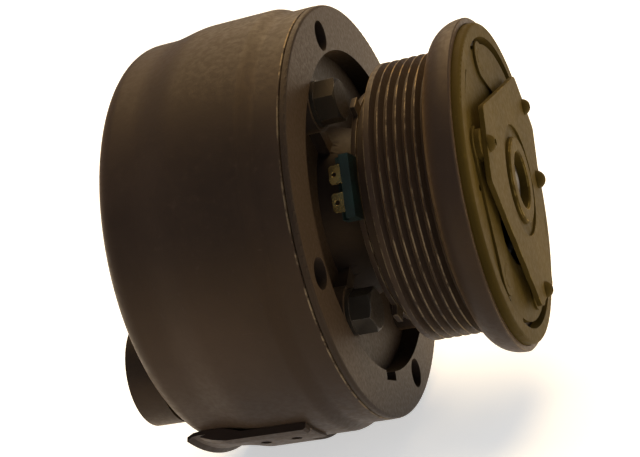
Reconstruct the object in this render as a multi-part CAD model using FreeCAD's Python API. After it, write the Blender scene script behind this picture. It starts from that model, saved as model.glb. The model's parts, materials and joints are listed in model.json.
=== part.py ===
import FreeCAD, Part

# Radial air-conditioning compressor with its electromagnetic clutch, in millimetres.
# +X runs along the shaft towards the clutch, +Z is up through the top mounting hole, and the
# origin is the centre of the front head's mounting face.
# Angles are in degrees about +X, counted from +Y towards +Z.

import math
import os
from FreeCAD import Vector

os.makedirs("parts", exist_ok=True)

# ---- driving dimensions ------------------------------------------------------------------

# front head
FLANGE_R = 83.3
FLANGE_RIM = 2.2
FLANGE_ROUND = 1.3
GROOVE_R = 81.2
GROOVE_END = -2.6
SPIGOT_R = 80.3
HEAD_REAR = -22.0
RECESS_R = 65.0
RECESS_FLOOR = -8.0
MOUNT_PCD = 144.4
MOUNT_HOLE_R = 6.0
MOUNT_HOLE_DEPTH = 14.0
HEAD_BOLT_R = 55.9
HEAD_BOLT_ANGLE = 25.5
BOLT_SHANK_R = 4.0
BOLT_HOLE_R = 4.4
BOLT_SEAT = -0.5
HUB_CONE_R = 36.0
HUB_CONE_TOP_R = 30.0
COIL_SEAT = 9.8
COIL_SEAT_R = 24.0
NOSE_R = 17.5
NOSE_END = 36.0

# shell and cylinder block
SHELL_FRONT = -2.7
SHELL_REAR = -78.0
SHELL_R = 85.8
SHELL_NECK_R = 83.4
SHELL_WAIST_R = 83.4
SHELL_BORE_R = 80.5
SHELL_LIP_R = 74.0
BLOCK_FRONT = -22.4
BLOCK_REAR = -80.0
CYLINDER_X = -49.0
CYLINDER_ANGLE = 70.0
CYLINDER_R = 21.0
PISTON_R = 20.94
PISTON_LENGTH = 15.0
VALVE_SEAT_R = 66.0
VALVE_PLATE_R = 23.0
VALVE_PLATE_THICK = 4.0
CRANKCASE_R = 36.0
CRANK_THROW = 12.0
PORT_BLOCK_REAR = -92.0
PORT_BLOCK_R = 22.0
SUCTION_Y = -44.0
DISCHARGE_Y = -4.0
PORT_Z = -36.4
SUCTION_R = 8.5
DISCHARGE_R = 7.0
PORT_DEPTH = 16.0
PIPE_BOLT_R = 4.2

# shaft
SHAFT_R = 9.0
SEAL_JOURNAL_R = 8.0
HUB_SEAT_R = 7.5
THREAD_R = 5.0
PIN_R = 6.5
REAR_JOURNAL_R = 7.0
SHAFT_END = 60.5

# coil
COIL_PLATE_R = 46.0
COIL_INNER_R = 29.5
COIL_OUTER_R = 45.4
COIL_FRONT = 42.0

# pulley and rotor
BEARING_BORE_R = 17.5
BEARING_R = 26.0
BEARING_REAR = 14.0
BEARING_FRONT = 34.0
BALL_R = 3.2
BALLS_PER_ROW = 14
ROTOR_DRUM_R = 49.4
FRICTION_FACE = 52.75
FRICTION_R = 63.0
PULLEY_REAR = 18.1
PULLEY_R = 55.5
BELT_RIBS = 6
RIB_PITCH = 3.56
FIRST_RIB = 22.02
RIB_DEPTH = 2.9
LIP_START = 42.2
LIP_R = 65.3
LIP_FRONT = 54.4
LIP_RISE = 8.6
LIP_RUN = 11.0
LIP_STEPS = 8

# armature, springs, driver plate, hub
ARMATURE_REAR = 53.3
ARMATURE_FRONT = 57.8
ARMATURE_FACE = 57.0
ARMATURE_R = 62.8
SLOT_INNER_R = 54.3
SLOT_OUTER_R = 57.0
SPRING_R = 48.6
SPRING_ANGLE = 88.0
SPRING_HALF = 7.3
SPRING_BACK = 57.02
SPRING_THICK = 1.0
CORNER_R = 44.6
CORNER_ANGLE = 25.5
PLATE_BACK = 60.0
PLATE_FRONT = 62.0
PLATE_VERTEX_R = 49.3
PLATE_ANGLE = 86.0
DISH_R = 21.8
BOSS_R = 17.0
NUT_RECESS_R = 11.0

# clearances
RUNNING = 0.05
THIRDS = (0.0, 120.0, 240.0)
QUARTERS = (0.0, 90.0, 180.0, 270.0)
TINY = 0.01
X_AXIS = Vector(1, 0, 0)
ORIGIN = Vector(0, 0, 0)


# ---- helpers -----------------------------------------------------------------------------

def polar(radius, angle):
    """The Y and Z of a point at this radius and angle about the shaft."""
    return radius * math.cos(math.radians(angle)), radius * math.sin(math.radians(angle))


def rod(x0, x1, radius, y=0.0, z=0.0):
    """A cylinder parallel to the shaft, from x0 to x1."""
    return Part.makeCylinder(radius, x1 - x0, Vector(x0, y, z), X_AXIS)


def ring(x0, x1, inner, outer):
    """A plain tube about the shaft."""
    return rod(x0, x1, outer).cut(rod(x0 - 1, x1 + 1, inner))


def lathe(outline):
    """A solid of revolution about the shaft, from closed (x, radius) points."""
    corners = [Vector(x, 0, r) for x, r in outline]
    corners.append(corners[0])
    face = Part.Face(Part.makePolygon(corners))
    return face.revolve(ORIGIN, X_AXIS, 360)


def prism(outline, x0, x1):
    """A prism parallel to the shaft, from closed (y, z) points."""
    corners = [Vector(x0, y, z) for y, z in outline]
    corners.append(corners[0])
    return Part.Face(Part.makePolygon(corners)).extrude(Vector(x1 - x0, 0, 0))


def turned(shape, angle, y=0.0, z=0.0):
    """A copy turned about an axis parallel to the shaft."""
    copy = shape.copy()
    copy.rotate(Vector(0, y, z), X_AXIS, angle)
    return copy


def copies(shape, angles):
    return [turned(shape, angle) for angle in angles]


def box(x0, x1, y0, y1, z0, z1):
    return Part.makeBox(x1 - x0, y1 - y0, z1 - z0, Vector(x0, y0, z0))


def hexagon(across_flats, x0, x1, y=0.0, z=0.0, phase=0.0, chamfer=True):
    """A hexagonal prism whose front corners are turned off at thirty degrees to the face."""
    corner = across_flats / math.sqrt(3)
    points = []
    for step in range(6):
        py, pz = polar(corner, phase + 60 * step)
        points.append((y + py, z + pz))
    shape = prism(points, x0, x1)
    if chamfer:
        top_r = across_flats / 2 - 0.2
        base_r = top_r + (x1 - x0) / math.tan(math.radians(30))
        shape = shape.common(Part.makeCone(base_r, top_r, x1 - x0, Vector(x0, y, z), X_AXIS))
    return shape


def stadium(x0, x1, y0, y1, z, radius):
    """A bar with round ends, along Y between two centres."""
    bar = rod(x0, x1, radius, y0, z).fuse(rod(x0, x1, radius, y1, z))
    return bar.fuse(box(x0, x1, y0, y1, z - radius, z + radius)).removeSplitter()


def link(x0, x1, start, end, half_width):
    """A flat bar with round ends between two (y, z) centres."""
    dy, dz = end[0] - start[0], end[1] - start[1]
    length = math.hypot(dy, dz)
    bar = stadium(x0, x1, 0, length, 0, half_width)
    bar.rotate(ORIGIN, X_AXIS, math.degrees(math.atan2(dz, dy)))
    bar.translate(Vector(0, start[0], start[1]))
    return bar


def torus(x, centre_radius, wire_radius):
    return Part.makeTorus(centre_radius, wire_radius, Vector(x, 0, 0), X_AXIS)


def soften(shape, radius, rings):
    """Fillets the circular edges about the shaft that lie at the given (x, radius) places."""
    chosen = []
    for edge in shape.Edges:
        curve = edge.Curve
        if not isinstance(curve, Part.Circle):
            continue
        on_axis = math.hypot(curve.Center.y, curve.Center.z) < TINY
        for x, r in rings:
            if on_axis and abs(curve.Center.x - x) < TINY and abs(curve.Radius - r) < TINY:
                chosen.append(edge)
    return shape.makeFillet(radius, chosen)


def save(name, *solids):
    """Writes one node, as one solid or as a group of separate solids."""
    shape = solids[0] if len(solids) == 1 else Part.makeCompound(list(solids))
    shape.exportStep("parts/" + name + ".step")


# ---- front head and its bolts ------------------------------------------------------------

SEAL_BORE_R = 13.0
SEAL_RING_GROOVE_R = 14.2
FRONT_NEEDLE_CUP_R = 13.0
HEAD_CAVITY_R = 40.0
HEAD_CAVITY_FLOOR = -14.0
BEARING_BOSS_R = 18.0
BEARING_BOSS_END = -16.0
O_RING_WIRE = 1.3
HEAD_GROOVE = (-13.6, -10.6)
NOTCH_ANGLE = 243.0
NOTCH_HALF_WIDTH = 5.5
NOTCH_R = 68.5
BOLT_BOSS_R = 10.4
BOLT_FLATS = 15.0
BOLT_TOP = 9.2
WASHER_R = 8.9
WASHER_THICK = 1.6
RIB_HALF = 3.0
RIB_TOP = -3.5
SNAP_GROOVE = (34.25, 35.45)
SNAP_GROOVE_R = 16.6
SEAT_RING_GROOVE = (22.1, 23.5)


def bolt_centres():
    return [polar(HEAD_BOLT_R, HEAD_BOLT_ANGLE + quarter) for quarter in QUARTERS]


def front_head():
    body = lathe([(0, 0), (0, FLANGE_R), (-FLANGE_RIM, FLANGE_R), (-FLANGE_RIM, GROOVE_R),
                  (GROOVE_END, GROOVE_R), (GROOVE_END, SPIGOT_R), (HEAD_GROOVE[1], SPIGOT_R),
                  (HEAD_GROOVE[1], SPIGOT_R - 2.5), (HEAD_GROOVE[0], SPIGOT_R - 2.5),
                  (HEAD_GROOVE[0], SPIGOT_R), (HEAD_REAR, SPIGOT_R), (HEAD_REAR, 0)])
    body = soften(body, FLANGE_ROUND, [(0, FLANGE_R)])
    body = body.cut(rod(RECESS_FLOOR, 1, RECESS_R))
    notch = box(RECESS_FLOOR + 2, 1, RECESS_R - 4, NOTCH_R, -NOTCH_HALF_WIDTH, NOTCH_HALF_WIDTH)
    body = body.cut(turned(notch, NOTCH_ANGLE))
    # raised features inside the recess
    groove_rear, groove_front = SNAP_GROOVE
    cone = lathe([(RECESS_FLOOR - 1, 0), (RECESS_FLOOR - 1, HUB_CONE_R), (COIL_SEAT - 1.3, HUB_CONE_TOP_R),
                  (COIL_SEAT - 1.3, COIL_SEAT_R + 3), (COIL_SEAT, COIL_SEAT_R + 3),
                  (COIL_SEAT, COIL_SEAT_R), (12.4, COIL_SEAT_R), (12.4, 19.6), (BEARING_REAR, 19.6),
                  (BEARING_REAR, NOSE_R), (groove_rear, NOSE_R), (groove_rear, SNAP_GROOVE_R),
                  (groove_front, SNAP_GROOVE_R), (groove_front, NOSE_R), (NOSE_END, NOSE_R), (NOSE_END, 0)])
    body = body.fuse(cone)
    for y, z in bolt_centres():
        body = body.fuse(rod(RECESS_FLOOR - 1, BOLT_SEAT, BOLT_BOSS_R, y, z))
    rib = box(RECESS_FLOOR - 1, RIB_TOP, HUB_CONE_R - 4, RECESS_R + 1, -RIB_HALF, RIB_HALF)
    for angle in QUARTERS:
        body = body.fuse(turned(rib, HEAD_BOLT_ANGLE + angle))
    # rear side: crankcase cavity with the bearing boss standing in it
    body = body.cut(ring(HEAD_REAR - 1, HEAD_CAVITY_FLOOR, BEARING_BOSS_R, HEAD_CAVITY_R))
    body = body.cut(rod(HEAD_REAR - 1, BEARING_BOSS_END, BEARING_BOSS_R + 1))
    # the bore through the nose
    body = body.cut(rod(BEARING_BOSS_END - 1, 2, FRONT_NEEDLE_CUP_R))
    body = body.cut(rod(1, 5, 10.5))
    body = body.cut(rod(4, NOSE_END + 1, SEAL_BORE_R))
    body = body.cut(rod(SEAT_RING_GROOVE[0], SEAT_RING_GROOVE[1], SEAL_RING_GROOVE_R))
    for y, z in bolt_centres():
        body = body.cut(rod(HEAD_REAR - 1, 2, BOLT_HOLE_R, y, z))
    for angle in QUARTERS:
        y, z = polar(MOUNT_PCD / 2, angle)
        body = body.cut(rod(-MOUNT_HOLE_DEPTH, 1, MOUNT_HOLE_R, y, z))
    return body.removeSplitter()


def head_bolts():
    bolts = []
    for index, (y, z) in enumerate(bolt_centres()):
        washer_face = rod(BOLT_SEAT, BOLT_SEAT + WASHER_THICK, WASHER_R, y, z)
        head = hexagon(BOLT_FLATS, BOLT_SEAT + WASHER_THICK, BOLT_TOP, y, z, phase=10 + 25 * index)
        shank = rod(-38, BOLT_SEAT, BOLT_SHANK_R, y, z)
        bolts.append(washer_face.fuse(head).fuse(shank).removeSplitter())
    return bolts


save("front_head", front_head())
save("head_bolts", *head_bolts())
save("head_o_ring", torus(sum(HEAD_GROOVE) / 2, SPIGOT_R - 2.5 + O_RING_WIRE + 0.05, O_RING_WIRE))


# ---- shell and strap ---------------------------------------------------------------------

SHELL_ROUND = 8.0
EASE_STEPS = 6
SHOULDER_START = -12.0
SHOULDER_END = -19.5
WAIST_START = -44.0
WAIST_END = -63.0
STRAP_START = 224.0
STRAP_STEP_ANGLE = 238.0
STRAP_EDGE_END = 227.0
STRAP_EDGE_R = 89.0
STRAP_END = 298.0
STRAP_FRONT = -27.0
STRAP_STEP_X = -33.0
STRAP_REAR = -77.0
STRAP_HOLE_R = 2.2
STRAP_HOLE_X = (-37.0, -50.0)
STRAP_HOLE_ANGLE = 234.0


def eased(x0, r0, x1, r1):
    """Points of a smooth S-shaped change from one radius to another."""
    points = []
    for step in range(EASE_STEPS + 1):
        ease = (1 - math.cos(math.pi * step / EASE_STEPS)) / 2
        points.append((x0 + (x1 - x0) * step / EASE_STEPS, r0 + (r1 - r0) * ease))
    return points


def shell():
    """A drawn drum: level with the flange in front, a wide belly, a narrow waist and a rolled rear lip."""
    outline = [(SHELL_FRONT, SHELL_BORE_R), (SHELL_FRONT, SHELL_NECK_R)]
    outline += eased(SHOULDER_START, SHELL_NECK_R, SHOULDER_END, SHELL_R)
    outline += eased(WAIST_START, SHELL_R, WAIST_END, SHELL_WAIST_R)
    outline += [(SHELL_REAR, SHELL_WAIST_R), (SHELL_REAR, SHELL_LIP_R), (-73, SHELL_LIP_R), (-73, 76.6),
                (-69, SHELL_BORE_R)]
    body = soften(lathe(outline), SHELL_ROUND, [(SHELL_REAR, SHELL_WAIST_R)])
    return soften(body, 0.6, [(SHELL_FRONT, SHELL_NECK_R)])


def sweep(section, start, end):
    """A section of (x, radius) points carried about the shaft from one angle to another."""
    corners = [Vector(x, 0, r) for x, r in section]
    corners.append(corners[0])
    solid = Part.Face(Part.makePolygon(corners)).revolve(ORIGIN, X_AXIS, end - start)
    solid.rotate(ORIGIN, X_AXIS, start - 90)
    return solid


def shell_strap():
    """A pressed strap against the shell's underside, with a thick near edge and a flared rear end."""
    gap = SHELL_R + 0.12
    section = [(STRAP_FRONT, gap), (STRAP_FRONT, 86.9), (STRAP_FRONT - 1, 87.3), (-54, 87.4),
               (-58, 86.6), (-63, 85.8), (-71.5, 85.2), (-75, 85.6), (STRAP_REAR, 87.2),
               (STRAP_REAR, 85.4), (-74.6, 84.0), (-71.5, 83.6), (-62, 83.6), (-54, gap)]
    strap = sweep(section, STRAP_START, STRAP_END)
    edge = sweep([(STRAP_FRONT, gap), (STRAP_FRONT, STRAP_EDGE_R - 0.8), (STRAP_FRONT - 1, STRAP_EDGE_R),
                  (-60, STRAP_EDGE_R), (-66, STRAP_EDGE_R - 1), (-72, 86), (-66, 84.6), (-54, gap)],
                 STRAP_START, STRAP_EDGE_END)
    strap = strap.fuse(edge)
    corner = sweep([(STRAP_STEP_X, SHELL_BORE_R), (STRAP_STEP_X, 90), (STRAP_FRONT + 1, 90),
                    (STRAP_FRONT + 1, SHELL_BORE_R)], STRAP_STEP_ANGLE, STRAP_END + 1)
    strap = strap.cut(corner)
    for x in STRAP_HOLE_X:
        y, z = polar(80, STRAP_HOLE_ANGLE)
        outward = Vector(0, y, z)
        strap = strap.cut(Part.makeCylinder(STRAP_HOLE_R, 12, Vector(x, y, z), outward))
    return strap.removeSplitter()


save("shell", shell())
save("shell_strap", shell_strap())


# ---- cylinder block, valve plates and pistons --------------------------------------------

BLOCK_R = 79.6
SPIGOT_REAR_R = 73.8
BLOCK_SHOULDER = -72.6
BLOCK_GROOVE = (-77.3, -74.5)
REAR_WALL = -72.0
REAR_BOSS_R = 17.0
REAR_BOSS_END = -88.0
REAR_CUP_R = 10.7
SWITCH_Y = 34.0
SWITCH_Z = 30.0
SWITCH_R = 11.0
SWITCH_FLOOR = -78.5
RELIEF_Y = 40.0
RELIEF_Z = -24.0
BOSS_REAR = -86.0
ROTATED_CYLINDERS = [CYLINDER_ANGLE + quarter for quarter in QUARTERS]


def radial_rod(x, inner, outer, radius):
    """A cylinder that points outwards along +Y, between two distances from the shaft."""
    return Part.makeCylinder(radius, outer - inner, Vector(x, inner, 0), Vector(0, 1, 0))


def cylinder_block():
    body = lathe([(BLOCK_FRONT, 0), (BLOCK_FRONT, BLOCK_R), (BLOCK_SHOULDER + 4, BLOCK_R),
                  (BLOCK_SHOULDER, 75.8), (BLOCK_SHOULDER, SPIGOT_REAR_R), (BLOCK_GROOVE[1], SPIGOT_REAR_R),
                  (BLOCK_GROOVE[1], SPIGOT_REAR_R - 2.4), (BLOCK_GROOVE[0], SPIGOT_REAR_R - 2.4),
                  (BLOCK_GROOVE[0], SPIGOT_REAR_R), (BLOCK_REAR, SPIGOT_REAR_R), (BLOCK_REAR, 0)])
    body = body.fuse(stadium(PORT_BLOCK_REAR, BLOCK_REAR + 1, SUCTION_Y, DISCHARGE_Y, PORT_Z, PORT_BLOCK_R))
    body = body.fuse(rod(REAR_BOSS_END, BLOCK_REAR + 1, REAR_BOSS_R))
    body = body.fuse(rod(BOSS_REAR, BLOCK_REAR + 1, SWITCH_R + 4, SWITCH_Y, SWITCH_Z))
    body = body.fuse(rod(BOSS_REAR, BLOCK_REAR + 1, 9, RELIEF_Y, RELIEF_Z))
    body = body.cut(rod(REAR_WALL, BLOCK_FRONT + 1, CRANKCASE_R))
    cylinder = radial_rod(CYLINDER_X, CRANKCASE_R - 6, BLOCK_R + 5, CYLINDER_R)
    seat = radial_rod(CYLINDER_X, VALVE_SEAT_R, BLOCK_R + 5, VALVE_PLATE_R + 0.2)
    for angle in ROTATED_CYLINDERS:
        body = body.cut(turned(cylinder, angle))
        body = body.cut(turned(seat, angle))
    body = body.cut(rod(-86, REAR_WALL + 1, REAR_CUP_R))
    for y, z in bolt_centres():
        body = body.cut(rod(-39, BLOCK_FRONT + 1, BOLT_SHANK_R + TINY, y, z))
    # ports, with sealing seats, and the pipe clamp's thread between them
    for y, radius in ((SUCTION_Y, SUCTION_R), (DISCHARGE_Y, DISCHARGE_R)):
        body = body.cut(rod(PORT_BLOCK_REAR - 1, PORT_BLOCK_REAR + PORT_DEPTH, radius, y, PORT_Z))
        body = body.cut(rod(PORT_BLOCK_REAR - 1, PORT_BLOCK_REAR + 1.6, radius + 3, y, PORT_Z))
    middle = (SUCTION_Y + DISCHARGE_Y) / 2
    body = body.cut(rod(PORT_BLOCK_REAR - 1, PORT_BLOCK_REAR + PORT_DEPTH + 2, PIPE_BOLT_R, middle, PORT_Z))
    # seats of the control switch and the relief valve
    body = body.cut(rod(BOSS_REAR - 1, SWITCH_FLOOR, SWITCH_R, SWITCH_Y, SWITCH_Z))
    body = body.cut(rod(-84.6, -83.2, SWITCH_R + 1, SWITCH_Y, SWITCH_Z))
    body = body.cut(rod(BOSS_REAR - 1, -75, 5, RELIEF_Y, RELIEF_Z))
    return body.removeSplitter()


def valve_plate():
    plate = radial_rod(CYLINDER_X, VALVE_SEAT_R, VALVE_SEAT_R + VALVE_PLATE_THICK, VALVE_PLATE_R)
    for angle in range(0, 360, 90):
        dx, dz = polar(9, angle + 45)
        hole = Part.makeCylinder(2.6, 10, Vector(CYLINDER_X + dx, VALVE_SEAT_R - 3, dz), Vector(0, 1, 0))
        plate = plate.cut(hole)
    return plate


def discharge_reed():
    """A four-armed reed that covers the plate's ports."""
    base = VALVE_SEAT_R + VALVE_PLATE_THICK
    reed = radial_rod(CYLINDER_X, base, base + 0.5, 5)
    for angle in range(0, 360, 90):
        dx, dz = polar(9, angle + 45)
        pad = Part.makeCylinder(3.6, 0.5, Vector(CYLINDER_X + dx, base, dz), Vector(0, 1, 0))
        arm = Part.makeBox(10, 0.5, 3, Vector(CYLINDER_X, base, -1.5))
        arm.rotate(Vector(CYLINDER_X, base, 0), Vector(0, 1, 0), -(angle + 45))
        reed = reed.fuse(pad).fuse(arm)
    return reed.removeSplitter()


def valve_plate_ring():
    """The wire ring, open on one side, that keeps a valve plate on its seat."""
    base = VALVE_SEAT_R + VALVE_PLATE_THICK
    outer = radial_rod(CYLINDER_X, base, base + 1.2, VALVE_PLATE_R)
    hoop = outer.cut(radial_rod(CYLINDER_X, base - 1, base + 3, VALVE_PLATE_R - 2))
    return hoop.cut(box(CYLINDER_X + 15, CYLINDER_X + 30, base - 1, base + 3, -4, 4))


MID_CROWN = VALVE_SEAT_R - 0.5 - CRANK_THROW
RING_TOP = MID_CROWN - 3.0
RING_BAND = 2.4
YOKE_HALF = 24.2
YOKE_OPENING = 21.5
YOKE_POST_R = 3.8
SLIDER_HALF = 9.0
SLIDER_X = (-60.0, -38.0)
FRONT_YOKE_X = (-48.7, -41.0)
REAR_YOKE_X = (-57.0, -49.3)


def piston():
    body = radial_rod(CYLINDER_X, MID_CROWN - PISTON_LENGTH, MID_CROWN, PISTON_R)
    groove = radial_rod(CYLINDER_X, RING_TOP - RING_BAND, RING_TOP, PISTON_R + 1)
    groove = groove.cut(radial_rod(CYLINDER_X, RING_TOP - RING_BAND - 1, RING_TOP + 1, PISTON_R - 2))
    return body.cut(groove)


def piston_ring():
    band = radial_rod(CYLINDER_X, RING_TOP - RING_BAND, RING_TOP, PISTON_R + 0.04)
    return band.cut(radial_rod(CYLINDER_X, RING_TOP - RING_BAND - 1, RING_TOP + 1, PISTON_R - 2))


def yoke(x_range, angle):
    """A square frame around the slider, with a post towards each of its two pistons."""
    x0, x1 = x_range
    frame = box(x0, x1, -YOKE_HALF, YOKE_HALF, -YOKE_HALF, YOKE_HALF)
    frame = frame.cut(box(x0 - 1, x1 + 1, -YOKE_OPENING, YOKE_OPENING, -YOKE_OPENING, YOKE_OPENING))
    middle = (x0 + x1) / 2
    reach = MID_CROWN - PISTON_LENGTH
    for side in (1, -1):
        start = Vector(middle, side * (YOKE_HALF - 1), 0)
        post = Part.makeCylinder(YOKE_POST_R, reach - YOKE_HALF + 1, start, Vector(0, side, 0))
        frame = frame.fuse(post)
    return turned(frame.removeSplitter(), angle)


block_o_ring = torus(sum(BLOCK_GROOVE) / 2, SPIGOT_REAR_R - 2.4 + 1.25, 1.2)
save("cylinder_block", cylinder_block())
save("block_o_ring", block_o_ring)
save("valve_plates", *copies(valve_plate(), ROTATED_CYLINDERS))
save("discharge_reeds", *copies(discharge_reed(), ROTATED_CYLINDERS))
save("valve_plate_rings", *copies(valve_plate_ring(), ROTATED_CYLINDERS))
save("front_pair_pistons", *copies(piston(), [CYLINDER_ANGLE, CYLINDER_ANGLE + 180]))
save("rear_pair_pistons", *copies(piston(), [CYLINDER_ANGLE + 90, CYLINDER_ANGLE + 270]))
save("piston_rings", *copies(piston_ring(), ROTATED_CYLINDERS))
save("front_yoke", yoke(FRONT_YOKE_X, CYLINDER_ANGLE))
save("rear_yoke", yoke(REAR_YOKE_X, CYLINDER_ANGLE + 90))


def relief_valve():
    body = rod(-92.5, BOSS_REAR, 4.2, RELIEF_Y, RELIEF_Z)
    body = body.fuse(rod(BOSS_REAR, -76, 4.95, RELIEF_Y, RELIEF_Z))
    body = body.fuse(hexagon(14, -90, BOSS_REAR, RELIEF_Y, RELIEF_Z, chamfer=False))
    return body.cut(rod(-94, -84, 1.6, RELIEF_Y, RELIEF_Z))


def control_switch():
    """A pressure switch in a round can, with two short pins at the back."""
    body = rod(-83.2, SWITCH_FLOOR, SWITCH_R - 0.1, SWITCH_Y, SWITCH_Z)
    body = body.fuse(rod(-85.8, -83.2, SWITCH_R - 3, SWITCH_Y, SWITCH_Z))
    for side in (-1, 1):
        y = SWITCH_Y + 3 * side
        body = body.fuse(rod(-91, -85, 1.1, y, SWITCH_Z))
    return body


def open_ring(x0, x1, inner, outer, y=0.0, z=0.0, gap_angle=90.0, gap=6.0):
    """A flat retaining ring with a gap and an eye on each side of it."""
    hoop = rod(x0, x1, outer, y, z).cut(rod(x0 - 1, x1 + 1, inner, y, z))
    slot = box(x0 - 1, x1 + 1, y, y + outer + 2, z - gap / 2, z + gap / 2)
    return hoop.cut(turned(slot, gap_angle, y, z))


save("relief_valve", relief_valve())
save("control_switch", control_switch())
save("switch_retaining_ring", open_ring(-84.6, -83.2, SWITCH_R - 2, SWITCH_R + 0.9, SWITCH_Y, SWITCH_Z))


# ---- crankshaft, its bearings, the slider and the shaft seal -----------------------------

CRANK_ANGLE = 70.0
PIN_Y, PIN_Z = polar(CRANK_THROW, CRANK_ANGLE)
WEB_R = 19.0
FRONT_WEB = (-36.0, -29.0)
REAR_WEB = (-68.0, -61.0)
SHOULDER_R = 14.0
COUNTERWEIGHT_R = 33.0
FRONT_NEEDLES = 18
FRONT_NEEDLE_R = 1.35
FRONT_CUP_BORE = 11.8
REAR_NEEDLES = 18
REAR_NEEDLE_R = 1.2
REAR_CUP_BORE = 9.5
HUB_REAR = 37.0
KEY_X = (40.0, 50.0)
KEY_HALF = 1.6


def crankshaft():
    rear, front = FRONT_WEB
    body = lathe([(rear, 0), (rear, WEB_R), (front, WEB_R), (front, SHOULDER_R), (-17.6, SHOULDER_R),
                  (-17.6, SHAFT_R), (2.5, SHAFT_R), (2.5, SEAL_JOURNAL_R),
                  (HUB_REAR, SEAL_JOURNAL_R), (HUB_REAR, HUB_SEAT_R), (50.6, HUB_SEAT_R), (51.4, THREAD_R),
                  (SHAFT_END - 0.8, THREAD_R), (SHAFT_END, THREAD_R - 0.8), (SHAFT_END, 0)])
    body = body.fuse(rod(REAR_WEB[0] + 1, FRONT_WEB[0] + 1, PIN_R, PIN_Y, PIN_Z))
    keyway = box(KEY_X[0], KEY_X[1], -KEY_HALF, KEY_HALF, HUB_SEAT_R - 1.8, HUB_SEAT_R + 3)
    return body.cut(keyway)


def rear_crank():
    body = rod(REAR_WEB[0], REAR_WEB[1], WEB_R).fuse(rod(-85.6, REAR_WEB[0], REAR_JOURNAL_R))
    return body.cut(rod(REAR_WEB[0] + 1, REAR_WEB[1] + 1, PIN_R, PIN_Y, PIN_Z))


def counterweight():
    """A half disc on the shaft's shoulder, opposite the crank pin."""
    disc = ring(-28.0, -18.6, SHOULDER_R, COUNTERWEIGHT_R)
    far = COUNTERWEIGHT_R + 1
    removed = box(-29, -17, 4, far, -far, far)
    collar = ring(-28.0, -18.6, SHOULDER_R, SHOULDER_R + 4)
    return disc.cut(turned(removed, CRANK_ANGLE)).fuse(collar).removeSplitter()


def needles(x0, x1, pitch_radius, radius, count):
    solids = []
    for index in range(count):
        y, z = polar(pitch_radius, 360 * index / count)
        solids.append(rod(x0, x1, radius, y, z))
    return solids


def slider_block():
    body = box(SLIDER_X[0] + 0.6, SLIDER_X[1] + 0.6, -SLIDER_HALF, SLIDER_HALF, -SLIDER_HALF, SLIDER_HALF)
    body.rotate(ORIGIN, X_AXIS, CYLINDER_ANGLE)
    body.translate(Vector(0, PIN_Y, PIN_Z))
    return body.cut(rod(SLIDER_X[0] - 1, SLIDER_X[1] + 2, PIN_R + RUNNING, PIN_Y, PIN_Z))


save("crankshaft", crankshaft())
save("rear_crank", rear_crank())
save("counterweight", counterweight())
save("slider_block", slider_block())
save("front_bearing_cup", ring(-15.5, 1.9, FRONT_CUP_BORE, FRONT_NEEDLE_CUP_R))
save("rear_bearing_cup", ring(-85.5, -72.5, REAR_CUP_BORE, REAR_CUP_R))
front_pitch = (SHAFT_R + FRONT_CUP_BORE) / 2
rear_pitch = (REAR_JOURNAL_R + REAR_CUP_BORE) / 2
save("front_needles", *needles(-14.5, 0.9, front_pitch, FRONT_NEEDLE_R, FRONT_NEEDLES))
save("rear_needles", *needles(-84.5, -73.5, rear_pitch, REAR_NEEDLE_R, REAR_NEEDLES))
front_washer = ring(-17.4, BEARING_BOSS_END, SHAFT_R + 0.3, 17)
save("thrust_washers", front_washer, ring(REAR_WALL, -68.3, REAR_CUP_BORE, 17))
save("shaft_key", box(KEY_X[0], KEY_X[1], -KEY_HALF, KEY_HALF, HUB_SEAT_R - 1.8, HUB_SEAT_R + 1.6))

shaft_seal = lathe([(4.6, SEAL_JOURNAL_R), (4.6, 11.2), (6, 12.5), (12.5, 12.5), (14, 11.2),
                    (14, SEAL_JOURNAL_R)])
seal_carbon = ring(14.0, 17.0, SEAL_JOURNAL_R, 11.0)
seat_ring_x = 19.6
seal_seat = lathe([(17.1, 8.5), (17.1, 12.9), (18.5, 12.9), (18.5, 11.2), (20.7, 11.2), (20.7, 12.9),
                   (22.0, 12.9), (22.0, 8.5)])
save("shaft_seal", shaft_seal)
save("seal_carbon", seal_carbon)
save("seal_seat", seal_seat)
save("seal_seat_o_ring", torus(seat_ring_x, 12.1, 0.88))
save("seal_retaining_ring", open_ring(22.2, 23.4, 10.6, SEAL_RING_GROOVE_R - 0.05))


# ---- coil, its plate and the connector ---------------------------------------------------

TAB_ANGLES = (110.0, 223.5, 343.0)
TAB_R = 50.0
TAB_HALF = 3.3
CONNECTOR_ANGLE = 154.0
CONNECTOR_HALF = 11.8
CONNECTOR_X = (8.4, 12.0)
CONNECTOR_R = (COIL_PLATE_R + 0.1, 54.0)
LEDGE_REAR = 5.6
LEDGE_R = 49.9
BLADE_R = 51.0
BLADE_THICK = 0.9
BLADE_WIDTH = 7.2
BLADE_TIP = 2.8
BLADE_CLIP = 0.6
BLADE_INSET = 2.4
LATCH_HOLE_R = 0.9
UPPER_BLADE_ANGLE = 148.0
LOWER_BLADE_ANGLE = 159.8


def coil_plate():
    plate = rod(COIL_SEAT, 12.0, COIL_PLATE_R)
    tab = box(COIL_SEAT, 12.0, COIL_PLATE_R - 4, TAB_R, -TAB_HALF, TAB_HALF)
    for angle in TAB_ANGLES:
        plate = plate.fuse(turned(tab, angle))
    return plate.cut(rod(COIL_SEAT - 1, 13, COIL_SEAT_R + TINY)).removeSplitter()


def coil_housing():
    """A steel channel, open towards the friction disc."""
    body = ring(12.0, COIL_FRONT, COIL_INNER_R, COIL_OUTER_R)
    return body.cut(ring(14.6, COIL_FRONT + 1, COIL_INNER_R + 2, COIL_OUTER_R - 2.2))


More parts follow.
